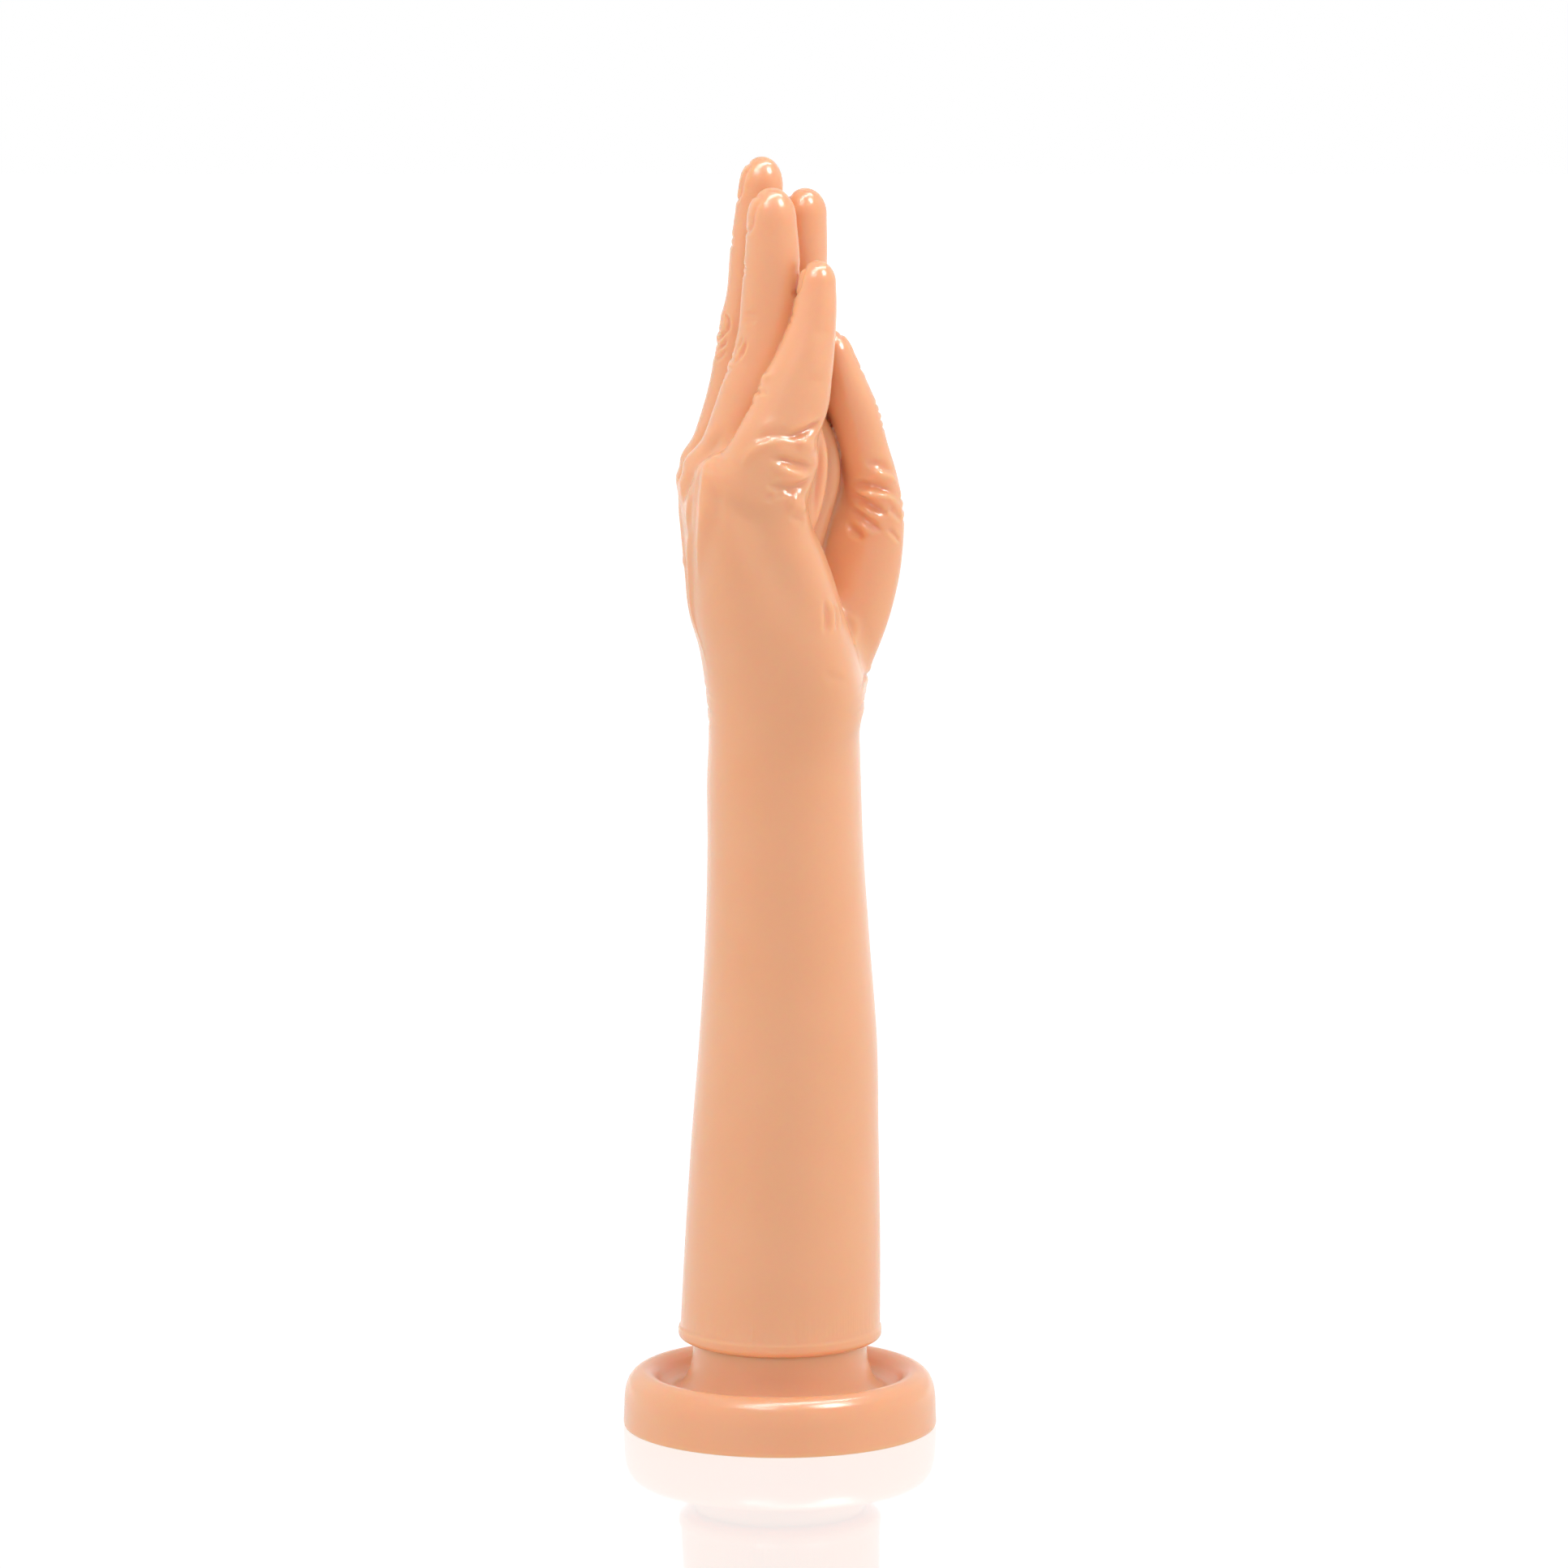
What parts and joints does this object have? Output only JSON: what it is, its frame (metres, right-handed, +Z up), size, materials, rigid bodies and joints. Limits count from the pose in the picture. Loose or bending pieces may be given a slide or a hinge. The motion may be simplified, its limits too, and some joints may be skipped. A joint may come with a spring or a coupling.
{
  "type": "moulded hand and forearm on suction base",
  "caption": "Life-size right hand and forearm in soft moulded vinyl, fingers gathered to a point, standing upright on a round suction base.",
  "frame": {"origin": "centre of the base's resting face, on the surface that it stands on", "axes": "+Z up along the forearm, from the base to the fingertips; +X the way the palm looks; +Y towards the thumb's side of the hand"},
  "size_m": [0.1, 0.1, 0.405],
  "materials": {
    "flesh_vinyl": "soft PVC, moulded, satin with a slight gloss",
    "base_vinyl": "soft PVC, moulded, satin with a slight gloss",
    "plug_plastic": "hard ABS, moulded, satin"
  },
  "bodies": {
    "base": {"suction_base": "base_vinyl"},
    "plug": {"taper_plug": "plug_plastic"},
    "arm": {"arm_and_hand": "flesh_vinyl"}
  },
  "joints": [
    {"name": "arm_turn", "type": "hinge", "parent": "base", "child": "plug", "pos_m": [0, 0, 0], "axis": [0, 0, 1], "continuous": true},
    {"name": "arm_pull", "type": "slide", "parent": "plug", "child": "arm", "axis": [0, 0, 1], "range_m": [0, 0.07]}
  ]
}
